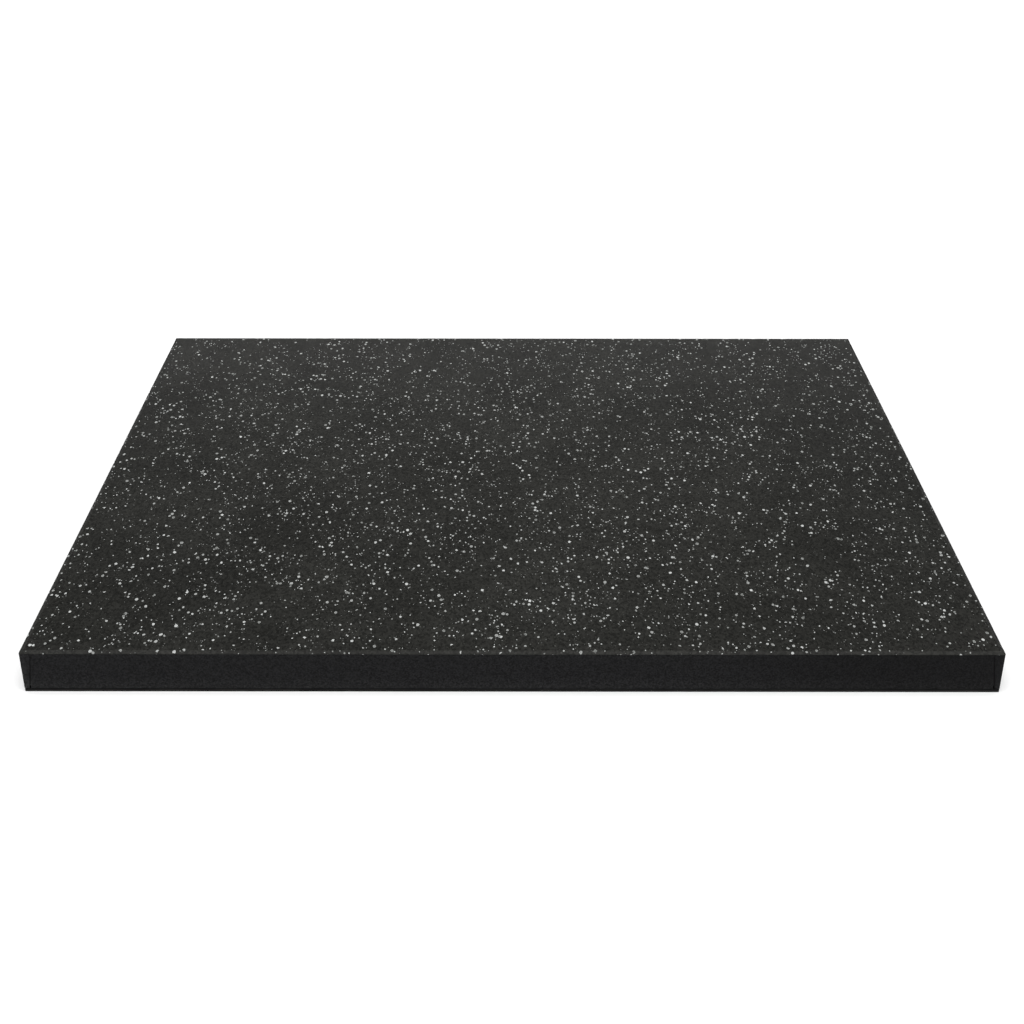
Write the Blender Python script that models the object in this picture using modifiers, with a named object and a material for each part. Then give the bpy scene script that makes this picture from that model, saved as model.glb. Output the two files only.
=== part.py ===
# Granite slab for leatherwork: a stone plate with edging bands let in round its sides, on a rubber
# backing sheet.
# Metres, +Z up. The origin is on the bench under the middle of the slab; the front edge faces -Y,
# the width runs along X and the depth along Y.

import math

import bmesh
import bpy

# Overall size
SLAB_WIDTH = 0.450
SLAB_DEPTH = 0.380

# Stone plate
STONE_THICKNESS = 0.0194
ARRIS_RADIUS = 0.0010           # rounded top edge, all the way round
ARRIS_LAND = 0.0001             # upright stone left between the arris and the rebate
CORNER_RADIUS = 0.0005          # upright corners of the stone and of the edging
ARRIS_SEGMENTS = 5

# Edging bands: each side band turns both of its corners and ends a few millimetres along the
# front and the rear, where it is trimmed on a slant
BAND_THICKNESS = 0.0008
RETURN_AT_TOP = 0.0053          # from the slab's corner to the joint, at the band's top edge
RETURN_AT_BOTTOM = 0.0026       # the same at the band's bottom edge
CORNER_SEGMENTS = 4

# Adhesive behind the bands and over the backing sheet
TAPE_THICKNESS = 0.0002
TAPE_MARGIN = 0.0010            # the tape stops this far inside the edge that it holds

# Backing sheet
BACKING_THICKNESS = 0.0014
BACKING_INSET = 0.0001          # the sheet is cut a little smaller than the slab
BACKING_CORNER_RADIUS = 0.0004

# Glue line and fitting clearance between neighbours
JOINT_GAP = 0.0003
CUT_ALLOWANCE = 0.0010          # how far a cutter runs past what it cuts

# Worked out from the above
stone_bottom = BACKING_THICKNESS + TAPE_THICKNESS + 2 * JOINT_GAP
slab_height = stone_bottom + STONE_THICKNESS
lip_height = ARRIS_RADIUS + ARRIS_LAND
rebate_depth = BAND_THICKNESS + TAPE_THICKNESS + 2 * JOINT_GAP
band_bottom = BACKING_THICKNESS + JOINT_GAP
band_top = slab_height - lip_height - JOINT_GAP
band_height = band_top - band_bottom
wall_bottom = stone_bottom
wall_top = slab_height - lip_height


def clear_scene():
    """Remove whatever the file was opened with."""
    for item in list(bpy.data.objects):
        bpy.data.objects.remove(item, do_unlink=True)


def make_collection(name):
    """A new collection in the scene."""
    collection = bpy.data.collections.new(name)
    bpy.context.scene.collection.children.link(collection)
    return collection


def make_material(name, colour, roughness, metallic=0.0):
    """A Principled BSDF material of one colour."""
    material = bpy.data.materials.new(name)
    material.use_nodes = True
    shader = material.node_tree.nodes["Principled BSDF"]
    shader.inputs["Base Color"].default_value = (*colour, 1.0)
    shader.inputs["Roughness"].default_value = roughness
    shader.inputs["Metallic"].default_value = metallic
    material.diffuse_color = (*colour, 1.0)
    return material


def add_object(name, mesh, collection, material=None):
    """An object for a mesh, in a collection."""
    if material is not None:
        mesh.materials.append(material)
    item = bpy.data.objects.new(name, mesh)
    collection.objects.link(item)
    return item


def box_mesh(name, size_x, size_y, size_z):
    """A box centred on its own origin."""
    box = bmesh.new()
    bmesh.ops.create_cube(box, size=1.0)
    bmesh.ops.scale(box, vec=(size_x, size_y, size_z), verts=box.verts)
    mesh = bpy.data.meshes.new(name)
    box.to_mesh(mesh)
    box.free()
    return mesh


def outline_mesh(name, points, thickness):
    """A closed flat outline in XY, thickened along Z about its own origin and made a mesh."""
    curve = bpy.data.curves.new(name, "CURVE")
    curve.dimensions = "2D"
    curve.fill_mode = "BOTH"
    curve.extrude = thickness / 2
    spline = curve.splines.new("POLY")
    spline.points.add(len(points) - 1)
    for point, (x, y) in zip(spline.points, points):
        point.co = (x, y, 0.0, 1.0)
    spline.use_cyclic_u = True

    holder = bpy.data.objects.new(name + "_outline", curve)
    bpy.context.scene.collection.objects.link(holder)
    depsgraph = bpy.context.evaluated_depsgraph_get()
    mesh = bpy.data.meshes.new_from_object(holder.evaluated_get(depsgraph))
    mesh.name = name
    bpy.data.objects.remove(holder, do_unlink=True)
    bpy.data.curves.remove(curve)

    solid = bmesh.new()
    solid.from_mesh(mesh)
    bmesh.ops.remove_doubles(solid, verts=solid.verts, dist=1e-6)
    bmesh.ops.recalc_face_normals(solid, faces=solid.faces)
    solid.to_mesh(mesh)
    solid.free()
    return mesh


def corner_arc(centre_x, centre_y, radius, start_degrees, segments):
    """Points of a quarter circle, anticlockwise from the start angle."""
    points = []
    for step in range(segments + 1):
        angle = math.radians(start_degrees + 90.0 * step / segments)
        x = centre_x + radius * math.cos(angle)
        y = centre_y + radius * math.sin(angle)
        points.append((x, y))
    return points


def rounded_rectangle(width, depth, radius, segments):
    """Outline of a rectangle with round corners, centred on the origin."""
    half_x = width / 2 - radius
    half_y = depth / 2 - radius
    points = corner_arc(half_x, half_y, radius, 0, segments)
    points += corner_arc(-half_x, half_y, radius, 90, segments)
    points += corner_arc(-half_x, -half_y, radius, 180, segments)
    points += corner_arc(half_x, -half_y, radius, 270, segments)
    return points


def granite_plate(collection, material):
    """The stone: a full-size lip at the top, and a body set in by the rebate below it."""
    plate = bmesh.new()
    bmesh.ops.create_cube(plate, size=1.0)
    bmesh.ops.scale(plate, vec=(SLAB_WIDTH, SLAB_DEPTH, lip_height), verts=plate.verts)
    bmesh.ops.translate(plate, vec=(0, 0, slab_height - lip_height / 2), verts=plate.verts)

    # The edges that get rounded: the four round the top, and the four upright corners of the lip
    weights = plate.edges.layers.float.new("bevel_weight_edge")
    for edge in plate.edges:
        low = min(vertex.co.z for vertex in edge.verts)
        high = max(vertex.co.z for vertex in edge.verts)
        if low > wall_top + lip_height / 2:
            edge[weights] = 1.0
        elif high - low > lip_height / 2:
            edge[weights] = CORNER_RADIUS / ARRIS_RADIUS

    # Set the underside in by the rebate, and draw the body down from it
    underside = [face for face in plate.faces if face.normal.z < -0.5]
    bmesh.ops.inset_region(plate, faces=underside, thickness=rebate_depth, use_even_offset=True)
    drawn = bmesh.ops.extrude_face_region(plate, geom=underside)
    drawn_verts = [part for part in drawn["geom"] if isinstance(part, bmesh.types.BMVert)]
    bmesh.ops.translate(plate, vec=(0, 0, lip_height - STONE_THICKNESS), verts=drawn_verts)
    bmesh.ops.delete(plate, geom=underside, context="FACES_KEEP_BOUNDARY")
    bmesh.ops.recalc_face_normals(plate, faces=plate.faces)

    mesh = bpy.data.meshes.new("granite_plate")
    plate.to_mesh(mesh)
    plate.free()
    item = add_object("granite_plate", mesh, collection, material)

    rounding = item.modifiers.new("arris", "BEVEL")
    rounding.limit_method = "WEIGHT"
    rounding.width = ARRIS_RADIUS
    rounding.segments = ARRIS_SEGMENTS
    return item


def band_outline(growth):
    """Outline of a front or rear band in its own X and height, with its ends on the slant.

    It is centred on mid-height. Growth moves its ends outward and carries its top and bottom
    edges on past the band, which makes it the cutter for the side bands' returns.
    """
    slant = (RETURN_AT_TOP - RETURN_AT_BOTTOM) / band_height
    beyond = CUT_ALLOWANCE if growth > 0 else 0.0
    half_height = band_height / 2 + beyond
    half_at_top = SLAB_WIDTH / 2 - RETURN_AT_TOP - JOINT_GAP / 2 + growth - slant * beyond
    half_at_bottom = SLAB_WIDTH / 2 - RETURN_AT_BOTTOM - JOINT_GAP / 2 + growth + slant * beyond
    return [
        (-half_at_bottom, -half_height),
        (half_at_bottom, -half_height),
        (half_at_top, half_height),
        (-half_at_top, half_height),
    ]


def long_band(name, side, collection, material):
    """The front band (side -1) or the rear band (side +1), between the side bands' returns."""
    mesh = outline_mesh(name, band_outline(0.0), BAND_THICKNESS)
    item = add_object(name, mesh, collection, material)
    item.rotation_euler = (math.radians(90), 0, 0)
    item.location = (0, side * (SLAB_DEPTH - BAND_THICKNESS) / 2, band_bottom + band_height / 2)
    return item


def return_cutter(name, side, collection):
    """What trims the side bands' returns on the slant, at the front (-1) or the rear (+1)."""
    depth = BAND_THICKNESS + 2 * CUT_ALLOWANCE
    mesh = outline_mesh(name, band_outline(JOINT_GAP), depth)
    item = add_object(name, mesh, collection)
    item.rotation_euler = (math.radians(90), 0, 0)
    item.location = (0, side * (SLAB_DEPTH - BAND_THICKNESS) / 2, band_bottom + band_height / 2)
    item.hide_render = True
    item.display_type = "WIRE"
    return item


def side_band(name, side, cutters, collection, material):
    """The left band (side -1) or the right band (side +1), with a return round each corner."""
    outer_x = SLAB_WIDTH / 2
    outer_y = SLAB_DEPTH / 2
    inner_x = outer_x - BAND_THICKNESS
    inner_y = outer_y - BAND_THICKNESS
    return_x = outer_x - RETURN_AT_TOP - CUT_ALLOWANCE
    round_x = outer_x - CORNER_RADIUS
    round_y = outer_y - CORNER_RADIUS
    points = [(return_x, -inner_y), (return_x, -outer_y)]
    points += corner_arc(round_x, -round_y, CORNER_RADIUS, 270, CORNER_SEGMENTS)
    points += corner_arc(round_x, round_y, CORNER_RADIUS, 0, CORNER_SEGMENTS)
    points += [(return_x, outer_y), (return_x, inner_y), (inner_x, inner_y), (inner_x, -inner_y)]

    mesh = outline_mesh(name, points, band_height)
    item = add_object(name, mesh, collection, material)
    item.location = (0, 0, band_bottom + band_height / 2)
    if side < 0:
        item.rotation_euler = (0, 0, math.radians(180))
    for cutter in cutters:
        trim = item.modifiers.new("trim_" + cutter.name, "BOOLEAN")
        trim.operation = "DIFFERENCE"
        trim.solver = "EXACT"
        trim.object = cutter
    return item


def band_tape(name, along_x, side, collection, material):
    """A strip of adhesive tape on the rebate's upright wall, behind one of the bands."""
    height = wall_top - wall_bottom - 2 * TAPE_MARGIN
    span = SLAB_WIDTH if along_x else SLAB_DEPTH
    reach = SLAB_DEPTH if along_x else SLAB_WIDTH
    length = span - 2 * (rebate_depth + TAPE_MARGIN)
    offset = side * (reach / 2 - BAND_THICKNESS - JOINT_GAP - TAPE_THICKNESS / 2)
    middle = (wall_top + wall_bottom) / 2
    if along_x:
        mesh = box_mesh(name, length, TAPE_THICKNESS, height)
    else:
        mesh = box_mesh(name, TAPE_THICKNESS, length, height)
    item = add_object(name, mesh, collection, material)
    item.location = (0, offset, middle) if along_x else (offset, 0, middle)
    return item


def backing_tape(collection, material):
    """The sheet of adhesive that holds the backing to the stone's underside."""
    name = "backing_tape"
    width = SLAB_WIDTH - 2 * (rebate_depth + TAPE_MARGIN)
    depth = SLAB_DEPTH - 2 * (rebate_depth + TAPE_MARGIN)
    item = add_object(name, box_mesh(name, width, depth, TAPE_THICKNESS), collection, material)
    item.location = (0, 0, BACKING_THICKNESS + JOINT_GAP + TAPE_THICKNESS / 2)
    return item


def backing_sheet(collection, material):
    """The rubber sheet that the slab stands on."""
    name = "backing_sheet"
    width = SLAB_WIDTH - 2 * BACKING_INSET
    depth = SLAB_DEPTH - 2 * BACKING_INSET
    points = rounded_rectangle(width, depth, BACKING_CORNER_RADIUS, CORNER_SEGMENTS)
    mesh = outline_mesh(name, points, BACKING_THICKNESS)
    item = add_object(name, mesh, collection, material)
    item.location = (0, 0, BACKING_THICKNESS / 2)
    return item


def main():
    """Build the slab."""
    clear_scene()
    parts = make_collection("granite_slab")
    cutters = make_collection("cutters")

    granite = make_material("honed_granite", (0.028, 0.028, 0.027), 0.55)
    vinyl = make_material("black_vinyl_edging", (0.012, 0.012, 0.013), 0.60)
    rubber = make_material("backing_rubber", (0.015, 0.015, 0.015), 0.85)
    adhesive = make_material("adhesive_tape", (0.008, 0.008, 0.008), 0.50)

    granite_plate(parts, granite)

    trims = []
    for place, side in (("front", -1), ("rear", 1)):
        long_band(place + "_edge_band", side, parts, vinyl)
        band_tape(place + "_band_tape", True, side, parts, adhesive)
        trims.append(return_cutter(place + "_return_cutter", side, cutters))
    for place, side in (("left", -1), ("right", 1)):
        side_band(place + "_edge_band", side, trims, parts, vinyl)
        band_tape(place + "_band_tape", False, side, parts, adhesive)

    backing_tape(parts, adhesive)
    backing_sheet(parts, rubber)


main()
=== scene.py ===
# Granite slab for leatherwork: the finished look of the stone, its black edging and its rubber backing.
# Everything is in metres, on the frame that holds the slab's sizes.
import math

import bmesh
import bpy
import numpy as np
from mathutils import Matrix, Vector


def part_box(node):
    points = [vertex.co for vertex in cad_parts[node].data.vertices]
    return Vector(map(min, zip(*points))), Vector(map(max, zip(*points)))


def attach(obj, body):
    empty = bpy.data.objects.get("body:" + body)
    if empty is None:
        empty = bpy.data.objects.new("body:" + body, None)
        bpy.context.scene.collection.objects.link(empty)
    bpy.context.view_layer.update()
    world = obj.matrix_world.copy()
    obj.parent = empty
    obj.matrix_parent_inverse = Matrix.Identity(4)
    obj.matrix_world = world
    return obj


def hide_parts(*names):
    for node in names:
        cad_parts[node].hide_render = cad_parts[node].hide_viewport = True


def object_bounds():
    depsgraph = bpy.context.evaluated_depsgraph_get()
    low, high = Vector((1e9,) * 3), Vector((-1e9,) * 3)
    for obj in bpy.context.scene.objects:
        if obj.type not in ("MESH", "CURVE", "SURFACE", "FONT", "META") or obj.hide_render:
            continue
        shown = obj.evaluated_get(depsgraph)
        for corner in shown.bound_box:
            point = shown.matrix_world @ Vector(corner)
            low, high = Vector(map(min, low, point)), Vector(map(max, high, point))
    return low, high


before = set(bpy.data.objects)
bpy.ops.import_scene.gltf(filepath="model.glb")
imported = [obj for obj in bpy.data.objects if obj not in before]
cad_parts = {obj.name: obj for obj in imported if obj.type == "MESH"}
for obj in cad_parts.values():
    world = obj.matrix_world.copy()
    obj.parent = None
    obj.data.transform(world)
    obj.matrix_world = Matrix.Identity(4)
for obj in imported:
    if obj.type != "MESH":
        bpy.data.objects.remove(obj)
cadLow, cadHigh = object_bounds()
print("frame loaded:", len(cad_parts), "nodes")

millimetre = 0.001
creaseAngle = 35.0                 # degrees, an edge sharper than this stays crisp
mergeDistance = 1e-3 * millimetre  # points nearer than this are one point
sliverLength = 1e-4 * millimetre   # an edge shorter than this is taken out


def hexColour(text):
    # sRGB hex to linear RGBA
    parts = [int(text[i:i + 2], 16) / 255 for i in (1, 3, 5)]
    return tuple(c / 12.92 if c <= 0.04045 else ((c + 0.055) / 1.055) ** 2.4 for c in parts) + (1.0,)


def addNode(tree, kind, inputs=None, **settings):
    # adds a node, sets its properties, then sets or links each named input
    node = tree.nodes.new(kind)
    for name, value in settings.items():
        setattr(node, name, value)
    for name, value in (inputs or {}).items():
        if isinstance(value, bpy.types.NodeSocket):
            tree.links.new(value, node.inputs[name])
        else:
            node.inputs[name].default_value = value
    return node


def newMaterial(name):
    material = bpy.data.materials.new(name)
    material.use_nodes = True
    tree = material.node_tree
    return material, tree, tree.nodes["Principled BSDF"]


def meshPiece(name, points, faces, material, node):
    # one finished piece: its mesh, its material, and the frame node it stands for
    mesh = bpy.data.meshes.new(name)
    mesh.from_pydata(points.tolist(), [], faces)
    mesh.materials.append(material)
    mesh.validate()
    piece = bpy.data.objects.new(name, mesh)
    bpy.context.scene.collection.objects.link(piece)
    mesh.shade_smooth()
    mesh.set_sharp_from_angle(angle=math.radians(creaseAngle))
    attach(piece, "root")
    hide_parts(node)
    return piece


def closeUp(piece):
    # merges points that lie together, takes out slivers, and turns every face outwards
    body = bmesh.new()
    body.from_mesh(piece.data)
    bmesh.ops.remove_doubles(body, verts=body.verts, dist=mergeDistance)
    bmesh.ops.dissolve_degenerate(body, edges=body.edges, dist=sliverLength)
    bmesh.ops.recalc_face_normals(body, faces=body.faces)
    body.to_mesh(piece.data)
    body.free()


def ringFaces(rings, points):
    # for closed rings of points, numbered ring by ring: a quad from each point and the next to the same
    # two on the next ring, and one face across the first ring and one across the last
    start = np.arange(rings - 1)[:, None] * points
    point = np.arange(points)[None, :]
    following = (point + 1) % points
    corners = [start + point, start + following, start + points + following, start + points + point]
    quads = np.stack(corners, axis=2).reshape(-1, 4).tolist()
    ring = list(range(points))
    return quads + [ring[::-1], [(rings - 1) * points + i for i in ring]]


def distanceAlong(points):
    # how far each point is from the first, along the line through them all
    steps = np.linalg.norm(np.diff(points, axis=0), axis=1)
    return np.concatenate([[0], np.cumsum(steps)])


def ripple(along, seed, waves, lengthRange):
    # a sum of sines with random lengths and phases, between -1 and 1
    rng = np.random.default_rng(seed)
    lengths = rng.uniform(*lengthRange, waves)
    phases = rng.uniform(0, 2 * math.pi, waves)
    weights = rng.uniform(0.5, 1.0, waves)
    angles = 2 * math.pi * along[None, :] / lengths[:, None] + phases[:, None]
    return (weights[:, None] * np.sin(angles)).sum(axis=0) / weights.sum()


granite = {
    "stone": "#252523",            # honed charcoal ground
    "darkGrain": 0.59,             # biotite grains, as a share of the ground's tone
    "paleGrain": 1.42,             # dark feldspar grains, the same
    "grainSize": 0.9,              # mm
    "mottleSize": 40.0,            # mm, slow changes of the ground's tone
    "mottle": 0.15,                # how much it changes, either way
    "usedReach": 225.0,            # mm from the middle, where the paler, much used area ends
    "usedLength": 3.0,             # how many times as long it is in depth as in width
    "usedTone": 1.13,              # its tone at the middle
    "stretch": 1.5,                # the flakes lie this much longer along the depth than across it
    "straySize": 0.67,             # mm, size of the bumps on a flake's outline
    "wander": 0.29,                # mm, how far they stray from round
    "softness": 0.06,              # mm, half the width of a flake's blurred outline
    "veinSpacing": 15.0,           # mm, the flakes gather in loose chains about bare patches
    "veinWidth": 0.15,             # how far from its middle the noise is where flakes are rarest
    "veinStrength": 0.95,          # their share of the cells rises and falls by this
    "rim": 0.25,                   # mm, dark rim round each flake
    "rimDepth": 0.30,              # how much darker it is
    "coreFrom": 0.4,               # the duller middle of a flake, in shares of the smallest radius:
    "coreTo": 0.8,                 # how deep inside its outline it begins, and where it is full
    "roughness": 0.17,
    "roughnessSpread": 0.04,       # either way, from crystal to crystal
    "ior": 1.54,                   # feldspar and quartz
    "specular": 0.165,             # porous, so it reflects less than a polished face
    "wornFrom": 2.4,               # mm from the slab's outline, where the edge wear begins
    "wornTo": 0.8,                 # and where it is full
    "wornRoughness": 0.60,         # added to the roughness of a worn edge
    "wornFlake": 0.75,             # the share of their tone that its flakes keep
}
# feldspar flakes by size: cell and radii in mm, the share of cells that hold one, tones, how much duller
# the middle of the dullest is, and the turn of the pattern in degrees, unlike from layer to layer so that
# no rows line up
flakeLayers = [
    {"cell": 1.02, "small": 0.10, "large": 0.23, "share": 0.18,
     "dim": "#484845", "bright": "#8a8b88", "core": 0.0, "turn": 37.0},
    {"cell": 1.39, "small": 0.20, "large": 0.37, "share": 0.185,
     "dim": "#767774", "bright": "#cfd2d0", "core": 0.0, "turn": 64.0},
    {"cell": 2.12, "small": 0.36, "large": 0.80, "share": 0.18,
     "dim": "#8a8c89", "bright": "#c4c6c4", "core": 0.5, "turn": 23.0},
]
turnAxis = (0.48, 0.60, 0.64)      # tilted, so that the surface cuts the pattern's cells at all heights
noiseLow, noiseHigh = 0.35, 0.65   # a noise with several octaves mostly stays between these
noiseMiddle = 0.5


def honedGranite():
    # Granite, sawn and honed: a charcoal ground of fine dark crystals, with off-white feldspar flakes cut
    # through at every depth. It isn't polished, so it looks matt from above and has a sheen at a low angle.
    material, tree, shader = newMaterial("honed granite")
    place = addNode(tree, "ShaderNodeTexCoord").outputs["Object"]
    inMillimetres = addNode(tree, "ShaderNodeVectorMath", {0: place, "Scale": 1000.0},
                            operation="SCALE").outputs[0]
    squeezed = addNode(tree, "ShaderNodeVectorMath", {0: inMillimetres, 1: (1, 1 / granite["stretch"], 1)},
                       operation="MULTIPLY").outputs[0]

    # outlines that stray from round
    stray = addNode(tree, "ShaderNodeTexNoise", {"Vector": squeezed, "Scale": 1 / granite["straySize"],
                                                 "Detail": 1.0})
    centred = addNode(tree, "ShaderNodeVectorMath", {0: stray.outputs["Color"], 1: (noiseMiddle,) * 3},
                      operation="SUBTRACT").outputs[0]
    scaled = addNode(tree, "ShaderNodeVectorMath", {0: centred, "Scale": 2 * granite["wander"]},
                     operation="SCALE").outputs[0]
    strayed = addNode(tree, "ShaderNodeVectorMath", {0: squeezed, 1: scaled}, operation="ADD").outputs[0]

    # chains: flakes are common where a slow noise is near its middle value, and rare away from it
    veins = addNode(tree, "ShaderNodeTexNoise", {"Vector": inMillimetres, "Scale": 1 / granite["veinSpacing"],
                                                 "Detail": 2.0, "Roughness": 0.6})
    away = addNode(tree, "ShaderNodeMath", {0: veins.outputs["Fac"], 1: noiseMiddle},
                   operation="SUBTRACT").outputs[0]
    distance = addNode(tree, "ShaderNodeMath", {0: away}, operation="ABSOLUTE").outputs[0]
    crowding = addNode(tree, "ShaderNodeMapRange", {"Value": distance, "From Max": granite["veinWidth"],
                                                    "To Min": 1 + granite["veinStrength"],
                                                    "To Max": 1 - granite["veinStrength"]}).outputs[0]

    # the worn edge: a ramp on the distance from the slab's outline
    across = addNode(tree, "ShaderNodeVectorMath", {0: inMillimetres}, operation="ABSOLUTE").outputs[0]
    outline = (cadHigh[0] / millimetre, cadHigh[1] / millimetre, 0.0)
    inset = addNode(tree, "ShaderNodeVectorMath", {0: outline, 1: across}, operation="SUBTRACT").outputs[0]
    insets = addNode(tree, "ShaderNodeSeparateXYZ", {0: inset})
    nearest = addNode(tree, "ShaderNodeMath", {0: insets.outputs["X"], 1: insets.outputs["Y"]},
                      operation="MINIMUM").outputs[0]
    worn = addNode(tree, "ShaderNodeMapRange", {"Value": nearest, "From Min": granite["wornFrom"],
                                                "From Max": granite["wornTo"]},
                   interpolation_type="SMOOTHSTEP").outputs[0]
    wornFlake = addNode(tree, "ShaderNodeMapRange", {"Value": worn, "To Min": 1.0,
                                                     "To Max": granite["wornFlake"]}).outputs[0]

    # the ground: crystals about a millimetre across, each with its own tone
    crystals = addNode(tree, "ShaderNodeTexVoronoi", {"Vector": strayed, "Scale": 1 / granite["grainSize"]})
    tone = addNode(tree, "ShaderNodeSeparateColor", {0: crystals.outputs["Color"]})
    grainTone = addNode(tree, "ShaderNodeMapRange", {"Value": tone.outputs[0], "To Min": granite["darkGrain"],
                                                     "To Max": granite["paleGrain"]}).outputs[0]
    mottle = addNode(tree, "ShaderNodeTexNoise", {"Vector": inMillimetres, "Scale": 1 / granite["mottleSize"],
                                                  "Detail": 4.0})
    mottleTone = addNode(tree, "ShaderNodeMapRange", {"Value": mottle.outputs["Fac"],
                                                      "From Min": noiseLow, "From Max": noiseHigh,
                                                      "To Min": 1 - granite["mottle"],
                                                      "To Max": 1 + granite["mottle"]}).outputs[0]
    # the used area: a dome on the distance from the middle
    reach = addNode(tree, "ShaderNodeVectorMath", {0: inMillimetres, 1: (1, 1 / granite["usedLength"], 0)},
                    operation="MULTIPLY").outputs[0]
    off = addNode(tree, "ShaderNodeVectorMath", {0: reach}, operation="LENGTH").outputs["Value"]
    usedTone = addNode(tree, "ShaderNodeMapRange", {"Value": off, "From Max": granite["usedReach"],
                                                    "To Min": granite["usedTone"], "To Max": 1.0},
                       interpolation_type="SMOOTHSTEP").outputs[0]
    slowTone = addNode(tree, "ShaderNodeMath", {0: mottleTone, 1: usedTone},
                       operation="MULTIPLY").outputs[0]
    groundTone = addNode(tree, "ShaderNodeMath", {0: grainTone, 1: slowTone},
                         operation="MULTIPLY").outputs[0]
    colour = addNode(tree, "ShaderNodeVectorMath", {0: hexColour(granite["stone"])[:3], "Scale": groundTone},
                     operation="SCALE").outputs[0]

    # the flakes, layer by layer: each is a ball round the middle of its cell, cut by the surface
    for layer in flakeLayers:
        cell = layer["cell"]
        turned = addNode(tree, "ShaderNodeVectorRotate", {"Vector": strayed, "Axis": turnAxis,
                                                          "Angle": math.radians(layer["turn"])})
        cells = addNode(tree, "ShaderNodeTexVoronoi", {"Vector": turned.outputs[0], "Scale": 1 / cell})
        chance = addNode(tree, "ShaderNodeSeparateColor", {0: cells.outputs["Color"]})
        radius = addNode(tree, "ShaderNodeMapRange", {"Value": chance.outputs[0],
                                                      "To Min": layer["small"] / cell,
                                                      "To Max": layer["large"] / cell}).outputs[0]
        share = addNode(tree, "ShaderNodeMath", {0: crowding, 1: layer["share"]},
                        operation="MULTIPLY").outputs[0]
        present = addNode(tree, "ShaderNodeMath", {0: chance.outputs[1], 1: share},
                          operation="LESS_THAN").outputs[0]
        depth = addNode(tree, "ShaderNodeMath", {0: radius, 1: cells.outputs["Distance"]},
                        operation="SUBTRACT").outputs[0]
        soft = granite["softness"] / cell
        inside = addNode(tree, "ShaderNodeMapRange", {"Value": depth, "From Min": -soft, "From Max": soft},
                         interpolation_type="SMOOTHSTEP").outputs[0]
        nearby = addNode(tree, "ShaderNodeMapRange", {"Value": depth, "From Min": -granite["rim"] / cell,
                                                      "From Max": 0.0}).outputs[0]
        flake = addNode(tree, "ShaderNodeMath", {0: inside, 1: present}, operation="MULTIPLY").outputs[0]
        rim = addNode(tree, "ShaderNodeMath", {0: nearby, 1: present}, operation="MULTIPLY").outputs[0]
        rimTone = addNode(tree, "ShaderNodeMapRange", {"Value": rim, "To Min": 1.0,
                                                       "To Max": 1.0 - granite["rimDepth"]}).outputs[0]
        rimmed = addNode(tree, "ShaderNodeVectorMath", {0: colour, "Scale": rimTone},
                         operation="SCALE").outputs[0]
        flakeColour = addNode(tree, "ShaderNodeMix", {0: chance.outputs[2], 6: hexColour(layer["dim"]),
                                                      7: hexColour(layer["bright"])},
                              data_type="RGBA").outputs[2]
        smallest = layer["small"] / cell
        middle = addNode(tree, "ShaderNodeMapRange", {"Value": depth,
                                                      "From Min": granite["coreFrom"] * smallest,
                                                      "From Max": granite["coreTo"] * smallest}).outputs[0]
        duller = addNode(tree, "ShaderNodeMath", {0: 1.0, 1: chance.outputs[2]},
                         operation="SUBTRACT").outputs[0]
        core = addNode(tree, "ShaderNodeMath", {0: middle, 1: duller}, operation="MULTIPLY").outputs[0]
        coreTone = addNode(tree, "ShaderNodeMapRange", {"Value": core, "To Min": 1.0,
                                                        "To Max": 1.0 - layer["core"]}).outputs[0]
        dulled = addNode(tree, "ShaderNodeMath", {0: coreTone, 1: wornFlake}, operation="MULTIPLY").outputs[0]
        cored = addNode(tree, "ShaderNodeVectorMath", {0: flakeColour, "Scale": dulled},
                        operation="SCALE").outputs[0]
        colour = addNode(tree, "ShaderNodeMix", {0: flake, 6: rimmed, 7: cored},
                         data_type="RGBA").outputs[2]

    tree.links.new(colour, shader.inputs["Base Color"])
    shine = addNode(tree, "ShaderNodeMapRange", {
        "Value": tone.outputs[1], "To Min": granite["roughness"] - granite["roughnessSpread"],
        "To Max": granite["roughness"] + granite["roughnessSpread"]}).outputs[0]
    rougher = addNode(tree, "ShaderNodeMath", {0: worn, 1: granite["wornRoughness"], 2: shine},
                      operation="MULTIPLY_ADD").outputs[0]
    tree.links.new(rougher, shader.inputs["Roughness"])
    shader.inputs["IOR"].default_value = granite["ior"]
    shader.inputs["Specular IOR Level"].default_value = granite["specular"]
    return material


vinyl = {
    "colour": "#151516",
    "dusty": "#2c2c2c",
    "shadeRightTone": 0.63,             # painted shade: the right end is darker, as where the light falls off, with this share of the tone
    "shadeRightFrom": 60.0,             # mm right of the middle, where that painted shade begins
    "shadeRightTo": 180.0,              # and where it is full
    "grain": 0.60,                 # mm, size of the pebbles of its moulded grain
    "grainTone": 0.55,             # how much the tone changes from pebble to pebble
    "dustSize": 1.25,              # mm
    "paleLowTop": 9.0,                # mm above the bench, where the paler band low down ends
    "paleLowFull": 2.0,               # and where it is palest
    "dustHigh": 0.15,              # share of the surface's tone that is dust, above
    "dustAndPaleLow": 0.60,               # and below, where more of the dusty tone makes the face paler
    "paleCornerFrom": 4.5,                   # mm from a corner, where the strip begins to turn paler
    "paleCornerFull": 0.5,               # and where it is palest
    "paleCornerTone": 1.5,               # its tone there
    "grainDepth": 0.08,            # mm
    "grainRelief": 0.5,            # how strongly the grain turns the light
    "roughness": 0.62,
    "specular": 0.06,
    "ior": 1.53,
}


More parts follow.
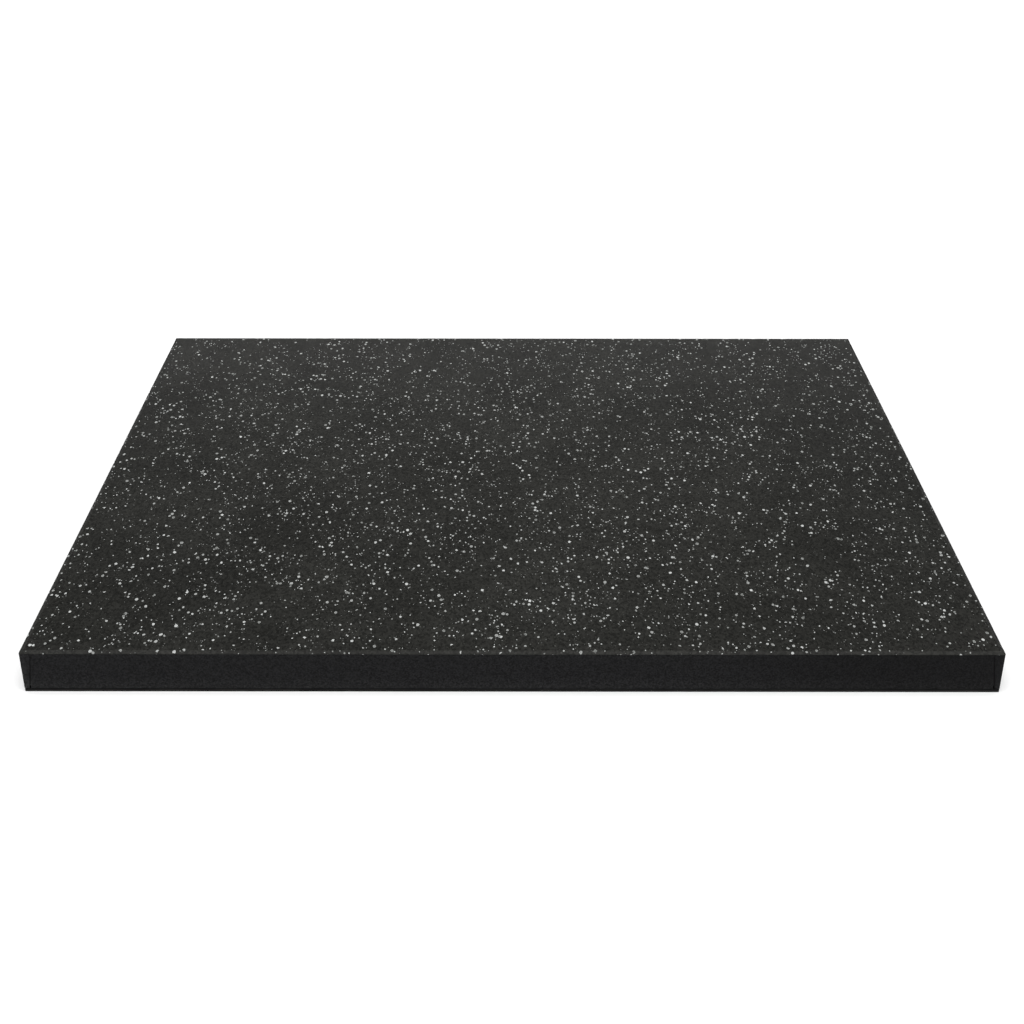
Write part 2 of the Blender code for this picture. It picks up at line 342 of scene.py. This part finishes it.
def mouldedVinyl():
    # Flexible PVC edging, calendered with a fine grain: near black and matt and lightly dusty, paler low down
    # and near the corners, and painted darker towards its right end, as shade where the light falls off.
    material, tree, shader = newMaterial("moulded black vinyl")
    place = addNode(tree, "ShaderNodeTexCoord").outputs["Object"]
    inMillimetres = addNode(tree, "ShaderNodeVectorMath", {0: place, "Scale": 1000.0},
                            operation="SCALE").outputs[0]
    pebbles = addNode(tree, "ShaderNodeTexVoronoi", {"Vector": inMillimetres, "Scale": 1 / vinyl["grain"]})
    pebble = addNode(tree, "ShaderNodeSeparateColor", {0: pebbles.outputs["Color"]}).outputs[0]
    pebbleTone = addNode(tree, "ShaderNodeMapRange", {"Value": pebble, "To Min": 1 - vinyl["grainTone"],
                                                      "To Max": 1 + vinyl["grainTone"]}).outputs[0]

    # dust speckled everywhere, and the face paler towards the bench, where more of the dusty tone is mixed in
    cloud = addNode(tree, "ShaderNodeTexNoise", {"Vector": inMillimetres, "Scale": 1 / vinyl["dustSize"],
                                                 "Detail": 4.0, "Roughness": 0.7})
    spot = addNode(tree, "ShaderNodeSeparateXYZ", {0: inMillimetres})
    low = addNode(tree, "ShaderNodeMapRange", {"Value": spot.outputs["Z"], "From Min": vinyl["paleLowTop"],
                                               "From Max": vinyl["paleLowFull"]},
                  interpolation_type="SMOOTHSTEP").outputs[0]
    speckled = addNode(tree, "ShaderNodeMapRange", {"Value": cloud.outputs["Fac"], "From Min": noiseLow,
                                                    "From Max": noiseHigh}).outputs[0]
    shareByHeight = addNode(tree, "ShaderNodeMapRange", {"Value": low, "To Min": vinyl["dustHigh"],
                                                   "To Max": vinyl["dustAndPaleLow"]}).outputs[0]
    dustAndLowPaling = addNode(tree, "ShaderNodeMath", {0: speckled, 1: shareByHeight}, operation="MULTIPLY").outputs[0]
    dusted = addNode(tree, "ShaderNodeMix", {0: dustAndLowPaling, 6: hexColour(vinyl["colour"]),
                                             7: hexColour(vinyl["dusty"])}, data_type="RGBA").outputs[2]

    # paler near a corner: close to the slab's outline both ways at once
    across = addNode(tree, "ShaderNodeVectorMath", {0: inMillimetres}, operation="ABSOLUTE").outputs[0]
    outline = (cadHigh[0] / millimetre, cadHigh[1] / millimetre, 0.0)
    inset = addNode(tree, "ShaderNodeVectorMath", {0: outline, 1: across}, operation="SUBTRACT").outputs[0]
    insets = addNode(tree, "ShaderNodeSeparateXYZ", {0: inset})
    corner = addNode(tree, "ShaderNodeMath", {0: insets.outputs["X"], 1: insets.outputs["Y"]},
                     operation="MAXIMUM").outputs[0]
    cornerPaling = addNode(tree, "ShaderNodeMapRange", {"Value": corner, "From Min": vinyl["paleCornerFrom"],
                                                "From Max": vinyl["paleCornerFull"], "To Min": 1.0,
                                                "To Max": vinyl["paleCornerTone"]}).outputs[0]
    # painted shade: darker towards the right end, where the light falls off
    shadeRight = addNode(tree, "ShaderNodeMapRange", {"Value": spot.outputs["X"], "From Min": vinyl["shadeRightFrom"],
                                                 "From Max": vinyl["shadeRightTo"], "To Min": 1.0,
                                                 "To Max": vinyl["shadeRightTone"]},
                    interpolation_type="SMOOTHSTEP").outputs[0]
    slowTone = addNode(tree, "ShaderNodeMath", {0: cornerPaling, 1: shadeRight}, operation="MULTIPLY").outputs[0]
    tone = addNode(tree, "ShaderNodeMath", {0: pebbleTone, 1: slowTone}, operation="MULTIPLY").outputs[0]
    colour = addNode(tree, "ShaderNodeVectorMath", {0: dusted, "Scale": tone}, operation="SCALE").outputs[0]
    tree.links.new(colour, shader.inputs["Base Color"])
    bump = addNode(tree, "ShaderNodeBump", {"Height": pebbles.outputs["Distance"],
                                            "Strength": vinyl["grainRelief"],
                                            "Distance": vinyl["grainDepth"] * millimetre})
    tree.links.new(bump.outputs[0], shader.inputs["Normal"])
    shader.inputs["Roughness"].default_value = vinyl["roughness"]
    shader.inputs["Specular IOR Level"].default_value = vinyl["specular"]
    shader.inputs["IOR"].default_value = vinyl["ior"]
    return material


rubber = {
    "colour": "#121212",
    "bloomed": "#1f1f1e",          # pale bloom, the wax that comes to the surface of rubber
    "bloomSize": 17.0,             # mm
    "poreSize": 0.4,               # mm
    "poreDepth": 0.1,              # mm
    "poreRelief": 0.4,             # how strongly the pores turn the light
    "roughness": 0.85,
    "specular": 0.1,
    "ior": 1.52,
}


def pressedRubber():
    # Natural rubber sheet, pressed in a mould: matt black, finely pored, with clouds of greyish bloom.
    material, tree, shader = newMaterial("pressed rubber")
    place = addNode(tree, "ShaderNodeTexCoord").outputs["Object"]
    inMillimetres = addNode(tree, "ShaderNodeVectorMath", {0: place, "Scale": 1000.0},
                            operation="SCALE").outputs[0]
    cloud = addNode(tree, "ShaderNodeTexNoise", {"Vector": inMillimetres, "Scale": 1 / rubber["bloomSize"],
                                                 "Detail": 6.0, "Roughness": 0.65})
    bloom = addNode(tree, "ShaderNodeMapRange", {"Value": cloud.outputs["Fac"], "From Min": noiseLow,
                                                 "From Max": noiseHigh}).outputs[0]
    colour = addNode(tree, "ShaderNodeMix", {0: bloom, 6: hexColour(rubber["colour"]),
                                             7: hexColour(rubber["bloomed"])}, data_type="RGBA").outputs[2]
    tree.links.new(colour, shader.inputs["Base Color"])
    pores = addNode(tree, "ShaderNodeTexNoise", {"Vector": inMillimetres, "Scale": 1 / rubber["poreSize"],
                                                 "Detail": 2.0})
    bump = addNode(tree, "ShaderNodeBump", {"Height": pores.outputs["Fac"], "Strength": rubber["poreRelief"],
                                            "Distance": rubber["poreDepth"] * millimetre})
    tree.links.new(bump.outputs[0], shader.inputs["Normal"])
    shader.inputs["Roughness"].default_value = rubber["roughness"]
    shader.inputs["Specular IOR Level"].default_value = rubber["specular"]
    shader.inputs["IOR"].default_value = rubber["ior"]
    return material


adhesive = {
    "clear": "#0d0d0d",
    "cloudy": "#171717",           # where air is trapped
    "cloudSize": 2.5,              # mm
    "roughness": 0.35,
    "ior": 1.47,
}


def acrylicAdhesive():
    # Acrylic foam tape: a thin black film with a dull gloss, a little paler where air is trapped in it.
    material, tree, shader = newMaterial("acrylic adhesive")
    place = addNode(tree, "ShaderNodeTexCoord").outputs["Object"]
    cloud = addNode(tree, "ShaderNodeTexNoise", {"Vector": place, "Detail": 3.0,
                                                 "Scale": 1 / (adhesive["cloudSize"] * millimetre)})
    colour = addNode(tree, "ShaderNodeMix", {0: cloud.outputs["Fac"], 6: hexColour(adhesive["clear"]),
                                             7: hexColour(adhesive["cloudy"])}, data_type="RGBA").outputs[2]
    tree.links.new(colour, shader.inputs["Base Color"])
    shader.inputs["Roughness"].default_value = adhesive["roughness"]
    shader.inputs["IOR"].default_value = adhesive["ior"]
    return material


# what the stone and the edging take from the frame
plateLow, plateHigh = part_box("granite_plate")
frontLow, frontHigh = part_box("front_edge_band")
tapeLow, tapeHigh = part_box("front_band_tape")
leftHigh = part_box("left_edge_band")[1]
jointGap = tapeLow[1] - frontHigh[1]              # left open between neighbours
bandThickness = frontHigh[1] - frontLow[1]
rebateDepth = tapeHigh[1] + jointGap - plateLow[1]


# the stone: profile and edge wear
plate = {
    "arris": 1.0 * millimetre,
    "arrisSteps": 8,
    "cornerRadius": 0.5 * millimetre,
    "cornerLoss": 0.6,               # share of that radius lost where the outline is set in
    "cornerSteps": 6,
    "step": 0.9 * millimetre,        # spacing of points along the edges
    "flatMargin": 1.5 * millimetre,  # from the arris to the flat face across the top
    "chips": 70,                     # tiny chips along the arris
    "chipSeed": 7,
    "chipDepth": 0.20 * millimetre,  # of the deepest
    "chipShallow": 0.2,              # shares from here to 1 are drawn and squared, so most are shallow
    "chipWidth": (0.6 * millimetre, 1.6 * millimetre),
    "chipFeather": 0.2,              # radians of the sine left off at both edges of the arris
}


def roundedRing(halfX, halfY, radius, sideCounts, arcSteps):
    # points round a rectangle with round corners, anticlockwise: each corner is a quarter circle about
    # its centre, and each side an even run of points to the next corner
    centreX, centreY = halfX - radius, halfY - radius
    corners = [(centreX, -centreY, -90), (centreX, centreY, 0),
               (-centreX, centreY, 90), (-centreX, -centreY, 180)]
    arcs = []
    for x, y, start in corners:
        turn = np.radians(start + np.linspace(0, 90, arcSteps + 1))
        arcs.append(np.stack([x + radius * np.cos(turn), y + radius * np.sin(turn)], axis=1))
    runs = []
    for i in range(4):
        share = np.linspace(0, 1, sideCounts[i % 2] + 1)[1:-1, None]
        runs += [arcs[i], arcs[i][-1] * (1 - share) + arcs[(i + 1) % 4][0] * share]
    return np.concatenate(runs)


def stonePlate(material):
    # A profile carried round a rounded rectangle: at each step of the profile the rectangle is set in by
    # that step's inset and put at its height. The arris is a quarter circle. A chip pulls the arris in
    # and down alike, by a bell curve of the distance along the edge times a sine across the arris.
    halfX, halfY, top = plateHigh
    arris, steps = plate["arris"], plate["arrisSteps"]
    lipBottom = frontHigh[2] + jointGap

    turn = np.linspace(0, math.pi / 2, steps + 1)
    insets = [arris + plate["flatMargin"], *(arris - arris * np.sin(turn)), 0.0, rebateDepth, rebateDepth]
    heights = [top, *(top - arris + arris * np.cos(turn)), lipBottom, lipBottom, plateLow[2]]
    sideCounts = [round(2 * halfY / plate["step"]), round(2 * halfX / plate["step"])]
    rings = []
    for inset, height in zip(insets, heights):
        radius = plate["cornerRadius"] * (1 - plate["cornerLoss"] * min(inset / arris, 1))
        ring = roundedRing(halfX - inset, halfY - inset, radius, sideCounts, plate["cornerSteps"])
        rings.append(np.column_stack([ring, np.full(len(ring), height)]))
    grid = np.stack(rings)

    rng = np.random.default_rng(plate["chipSeed"])
    edge = grid[steps + 1, :, :2]                 # the arris's outer edge
    along = distanceAlong(edge)
    spots = rng.uniform(0, along[-1], plate["chips"])
    widths = rng.uniform(*plate["chipWidth"], plate["chips"])
    depths = plate["chipDepth"] * rng.uniform(plate["chipShallow"], 1.0, plate["chips"]) ** 2
    bells = depths[:, None] * np.exp(-((along[None, :] - spots[:, None]) / widths[:, None]) ** 2)
    feather = plate["chipFeather"]
    push = np.zeros(len(insets))
    push[1:steps + 2] = np.sin(np.linspace(feather, math.pi - feather, steps + 1))
    push = push[:, None] * bells.sum(axis=0)[None, :] / math.sqrt(2)
    inwards = grid[0, :, :2] - edge
    inwards = inwards / np.linalg.norm(inwards, axis=1)[:, None]
    grid[:, :, :2] += push[:, :, None] * inwards[None, :, :]
    grid[:, :, 2] -= push

    # the rings run downwards, so their faces are turned over to point outwards
    faces = [face[::-1] for face in ringFaces(*grid.shape[:2])]
    return meshPiece("stonePlate", grid.reshape(-1, 3), faces, material, "granite_plate")


# the edging: section, fit and the slight waviness of a strip laid by hand
band = {
    "outerRound": 0.22 * millimetre,   # rounding of the section's outer and inner corners
    "innerRound": 0.08 * millimetre,
    "roundSteps": 4,
    "cornerRadius": 0.5 * millimetre,  # where a side band turns the slab's corner
    "cornerSteps": 6,
    "step": 2.5 * millimetre,          # spacing of points along a band
    "waviness": 0.05 * millimetre,     # at most, of the face and of the top edge
    "waves": 9,
    "faceWaves": (20 * millimetre, 160 * millimetre),
    "edgeWaves": (15 * millimetre, 120 * millimetre),
    "edgeSeed": 50,                    # added to a band's own seed for its top edge
    "lipFit": 0.06 * millimetre,       # what is left open under the stone's lip
    "endRound": 0.06 * millimetre,
    "seamClose": 0.24 * millimetre,    # the long strips' ends, cut by eye: nearer at the top by this
    "seamOpen": 0.30 * millimetre,     # and further off at the bottom by this
}


def bandSection(bottom, top):
    # closed section as (depth behind the outer face, height), up the outer face and down the inner one:
    # a rectangle whose corners are quarter circles
    outer, inner = band["outerRound"], band["innerRound"]
    innerDepth = bandThickness - inner
    corners = [(outer, bottom + outer, outer, 270), (outer, top - outer, outer, 180),
               (innerDepth, top - inner, inner, 90), (innerDepth, bottom + inner, inner, 0)]
    arcs = []
    for depth, height, radius, start in corners:
        turn = np.radians(start - np.linspace(0, 90, band["roundSteps"] + 1))
        arcs.append(np.stack([depth + radius * np.cos(turn), height + radius * np.sin(turn)], axis=1))
    return np.concatenate(arcs)


def carriedBand(name, node, path, outward, ends, seam, material, seed):
    # The section carried along a path on the slab's outline: a point lies behind the path by its depth,
    # against the outward direction, and is kept inside the outline set in by that depth, which closes the
    # inner side of a corner. A ripple along the band sinks its face and another its top edge, and the two
    # end sections are smaller all round. ends gives each path point's share of the slanted end: at share 1
    # the point moves along X by the slant times its height above the band's bottom. seam is what a long
    # band's end gives way at the bottom and gains at the top, in the same shares.
    low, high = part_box(node)
    bottom, top = low[2], high[2] + jointGap - band["lipFit"]
    section = bandSection(bottom, top)
    middle = np.array([bandThickness / 2, (bottom + top) / 2])

    along = distanceAlong(path)
    faceSink = 0.5 + 0.5 * ripple(along, seed, band["waves"], band["faceWaves"])
    edgeSink = 0.5 + 0.5 * ripple(along, seed + band["edgeSeed"], band["waves"], band["edgeWaves"])
    size = np.full((len(path), 2), 1.0)
    size[[0, -1]] = 1 - 2 * band["endRound"] / np.array([bandThickness, top - bottom])
    rings = middle + (section - middle)[None, :, :] * size[:, None, :]
    depth, height = rings[:, :, 0], rings[:, :, 1]
    outerShare = np.clip(1 - depth / (bandThickness / 2), 0, 1)
    topShare = np.clip((height - middle[1]) / (top - middle[1]), 0, 1)
    depth = depth + outerShare * faceSink[:, None] * band["waviness"]
    height = height - topShare * edgeSink[:, None] * band["waviness"]

    x = path[:, None, 0] - outward[:, None, 0] * depth
    y = path[:, None, 1] - outward[:, None, 1] * depth
    x = np.clip(x, -(plateHigh[0] - depth), plateHigh[0] - depth)
    y = np.clip(y, -(plateHigh[1] - depth), plateHigh[1] - depth)
    halfAtTop = -leftHigh[0] - jointGap           # of a long band, and frontHigh[0] at its bottom
    slant = (frontHigh[0] - halfAtTop) / (high[2] - low[2])
    climb = (height - bottom) / (top - bottom)
    x = x + ends[:, None] * (slant * (height - bottom) + seam[0] * (1 - climb) - seam[1] * climb)

    grid = np.stack([x, y, height], axis=2)
    faces = ringFaces(*grid.shape[:2])
    piece = meshPiece(name, grid.reshape(-1, 3), faces, material, node)
    closeUp(piece)
    return piece


def longBand(name, node, side, material, seed):
    # a straight run along X between the side bands' returns, slanted at both ends
    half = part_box(node)[1][0]
    nearEnd = band["endRound"]
    run = np.linspace(-half, half, round(2 * half / band["step"]) + 1)[1:-1]
    x = np.concatenate([[-half, -half + nearEnd], run, [half - nearEnd, half]])
    path = np.column_stack([x, np.full(len(x), side * plateHigh[1])])
    outward = np.tile([0.0, float(side)], (len(x), 1))
    seam = (band["seamOpen"], band["seamClose"])
    return carriedBand(name, node, path, outward, -x / half, seam, material, seed)


def sideBand(name, node, side, material, seed):
    # up the side of the slab, with a quarter circle and a short return at both corners; the left band's
    # path is the right one's, mirrored
    halfX, halfY, radius = plateHigh[0], plateHigh[1], band["cornerRadius"]
    tip = frontHigh[0] + jointGap
    returnX = np.array([tip, tip + band["endRound"], (tip + halfX - radius) / 2])
    returnOut = np.tile([0.0, -1.0], (len(returnX), 1))
    turn = np.radians(np.linspace(-90, 0, band["cornerSteps"] + 1))
    arcOut = np.stack([np.cos(turn), np.sin(turn)], axis=1)
    arc = np.array([halfX - radius, radius - halfY]) + radius * arcOut
    steps = round(2 * (halfY - radius) / band["step"])
    runY = np.linspace(-halfY + radius, halfY - radius, steps + 1)[1:-1]
    run = np.column_stack([np.full(len(runY), halfX), runY])
    first = np.concatenate([np.column_stack([returnX, np.full(len(returnX), -halfY)]), arc])
    firstOut = np.concatenate([returnOut, arcOut])
    path = np.concatenate([first, run, first[::-1] * [1, -1]])
    outward = np.concatenate([firstOut, np.tile([1.0, 0.0], (len(run), 1)), firstOut[::-1] * [1, -1]])
    share = np.concatenate([1 - (returnX - tip) / (halfX - radius - tip), np.zeros(len(arc))])
    ends = -np.concatenate([share, np.zeros(len(run)), share[::-1]])
    if side < 0:
        path, outward, ends = path * [-1, 1], outward * [-1, 1], -ends
    return carriedBand(name, node, path, outward, ends, (0.0, 0.0), material, seed)


# the backing: a thin sheet, flat on top and finely ribbed underneath
sheet = {
    "edgeRound": 0.15 * millimetre,
    "cornerRadius": 0.4 * millimetre,
    "cornerSteps": 6,
    "margin": 4.0 * millimetre,    # flat border round the ribs
    "ribRamp": 0.5 * millimetre,   # from the border to the grooves' full depth, at their ends
    "ribPitch": 3.0 * millimetre,
    "ribDepth": 0.35 * millimetre,
    "rowsPerRib": 6,
}


def backingSheet(material):
    # A ring round the sheet's section, carried along Y. Near the ends the ring's half width follows the
    # corner's circle. Underneath, inside the flat border, the height is a row of grooves: the groove
    # depth times a raised cosine of Y over the pitch, cut off at half way to leave flat-topped ribs.
    halfX, halfY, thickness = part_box("backing_sheet")[1]
    rim, radius, margin = sheet["edgeRound"], sheet["cornerRadius"], sheet["margin"]
    inner = halfY - margin
    ribs = round(2 * inner / sheet["ribPitch"])
    ribRows = np.linspace(-inner, inner, ribs * sheet["rowsPerRib"] + 1)
    turn = np.linspace(0, math.pi / 2, sheet["cornerSteps"] + 1)
    cornerRows = -halfY + radius * (1 - np.cos(turn[1:]))
    rows = np.concatenate([[-halfY, -halfY + rim / 2], cornerRows[cornerRows > -halfY + rim / 2]])
    y = np.concatenate([rows, ribRows, -rows[::-1]])
    past = np.clip(np.abs(y) - (halfY - radius), 0, radius)
    width = halfX - radius + np.sqrt(radius ** 2 - past ** 2)
    wave = 0.5 - 0.5 * np.cos(2 * math.pi * (y + inner) / (2 * inner) * ribs)
    groove = np.where(np.abs(y) <= inner, np.clip(2 * wave - 1, 0, 1), 0) * sheet["ribDepth"]

    # the right half of the section as (distance from the middle, height), first below and then above
    flat = np.zeros(len(y))
    below = [(width - margin - sheet["ribRamp"], groove), (width - margin, flat), (width - rim, flat)]
    above = [(width, flat + rim), (width, flat + thickness - rim), (width - rim, flat + thickness)]
    right = below + above
    left = [(-reach, height) for reach, height in right[::-1]]
    x, z = np.moveaxis(np.array(right + left), 0, 2)
    z[[0, -1]] = np.clip(z[[0, -1]], rim, thickness - rim)      # round at the front and the rear too
    grid = np.stack([x, np.broadcast_to(y[:, None], x.shape), z], axis=2)
    faces = ringFaces(*grid.shape[:2])
    piece = meshPiece("ribbedBacking", grid.reshape(-1, 3), faces, material, "backing_sheet")
    closeUp(piece)
    return piece


stone = honedGranite()
edging = mouldedVinyl()
print("materials made")
stonePlate(stone)
print("stone made")
# front and rear are sides -1 and 1, as are left and right; the last value is each band's random seed
longBand("frontBand", "front_edge_band", -1, edging, 11)
longBand("rearBand", "rear_edge_band", 1, edging, 12)
sideBand("leftBand", "left_edge_band", -1, edging, 13)
sideBand("rightBand", "right_edge_band", 1, edging, 14)
print("edging made")
backingSheet(pressedRubber())
glue = acrylicAdhesive()
for node in ("front_band_tape", "rear_band_tape", "left_band_tape", "right_band_tape", "backing_tape"):
    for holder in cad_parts[node].material_slots:
        holder.material = glue
print("backing and adhesive made")


# the studio: a pale floor, one large soft light above and in front, and a room that is bright low down
studio = {
    "floorSize": 40.0,             # metres across
    "floorColour": "#f7f7f7",
    "floorRoughness": 0.9,
    "floorSpecular": 0.1,
    "keyStrength": 3.80,           # watts to the square metre
    "keySpread": 80.0,             # degrees across
    "keyTilt": 16.0,               # degrees from overhead towards the front
    "roomColour": "#ffffff",
    "lowRoom": 1.05,               # brightness of the room near the floor's level
    "highRoom": 0.05,              # and of its unlit upper part
    "roomFade": 30.0,              # degrees above level where the upper part begins
}


def paintedFloor():
    # matt painted board: plain and pale
    material, tree, shader = newMaterial("matt painted floor")
    shader.inputs["Base Color"].default_value = hexColour(studio["floorColour"])
    shader.inputs["Roughness"].default_value = studio["floorRoughness"]
    shader.inputs["Specular IOR Level"].default_value = studio["floorSpecular"]
    half = studio["floorSize"] / 2
    mesh = bpy.data.meshes.new("floor")
    corners = [(-half, -half, 0), (half, -half, 0), (half, half, 0), (-half, half, 0)]
    mesh.from_pydata(corners, [], [(0, 1, 2, 3)])
    mesh.materials.append(material)
    floor = bpy.data.objects.new("floor", mesh)
    bpy.context.scene.collection.objects.link(floor)


def studioLight():
    key = bpy.data.lights.new("softKey", "SUN")
    key.energy = studio["keyStrength"]
    key.angle = math.radians(studio["keySpread"])
    lamp = bpy.data.objects.new("softKey", key)
    lamp.rotation_euler = (math.radians(studio["keyTilt"]), 0, 0)
    bpy.context.scene.collection.objects.link(lamp)
    room = bpy.data.worlds.new("room")
    room.use_nodes = True
    tree = room.node_tree
    background = tree.nodes["Background"]
    background.inputs["Color"].default_value = hexColour(studio["roomColour"])
    look = addNode(tree, "ShaderNodeTexCoord").outputs["Generated"]
    climb = addNode(tree, "ShaderNodeSeparateXYZ", {0: look}).outputs["Z"]
    fadeEnd = math.sin(math.radians(studio["roomFade"]))
    fade = addNode(tree, "ShaderNodeMapRange", {"Value": climb, "From Min": 0.0, "From Max": fadeEnd,
                                                "To Min": studio["lowRoom"], "To Max": studio["highRoom"]},
                   interpolation_type="SMOOTHSTEP")
    tree.links.new(fade.outputs[0], background.inputs["Strength"])
    bpy.context.scene.world = room
    bpy.context.scene.view_settings.view_transform = "Standard"


# where the viewer stands, from the middle of the slab's underside, and which way the lens points
viewpoint = {
    "lens": 55.0,                  # mm, on a sensor this wide
    "sensor": 36.0,
    "nearest": 10 * millimetre,    # nothing nearer than this is seen
    "aside": -0.35 * millimetre,
    "back": 786.4 * millimetre,
    "height": 416.2 * millimetre,
    "down": 28.351,                # degrees below level
    "turn": -0.018,                # degrees to the left
    "lean": 0.067,                 # degrees about the line of sight
}


def viewingCamera():
    lens = bpy.data.cameras.new("viewer")
    lens.lens = viewpoint["lens"]
    lens.sensor_width = viewpoint["sensor"]
    lens.clip_start = viewpoint["nearest"]
    viewer = bpy.data.objects.new("viewer", lens)
    bpy.context.scene.collection.objects.link(viewer)
    place = Matrix.Translation((viewpoint["aside"], -viewpoint["back"], viewpoint["height"]))
    turn = Matrix.Rotation(math.radians(viewpoint["turn"]), 4, "Z")
    tip = Matrix.Rotation(math.radians(90 - viewpoint["down"]), 4, "X")
    lean = Matrix.Rotation(math.radians(viewpoint["lean"]), 4, "Z")
    viewer.matrix_world = place @ turn @ tip @ lean
    bpy.context.scene.camera = viewer


paintedFloor()
studioLight()
viewingCamera()
print("studio made")
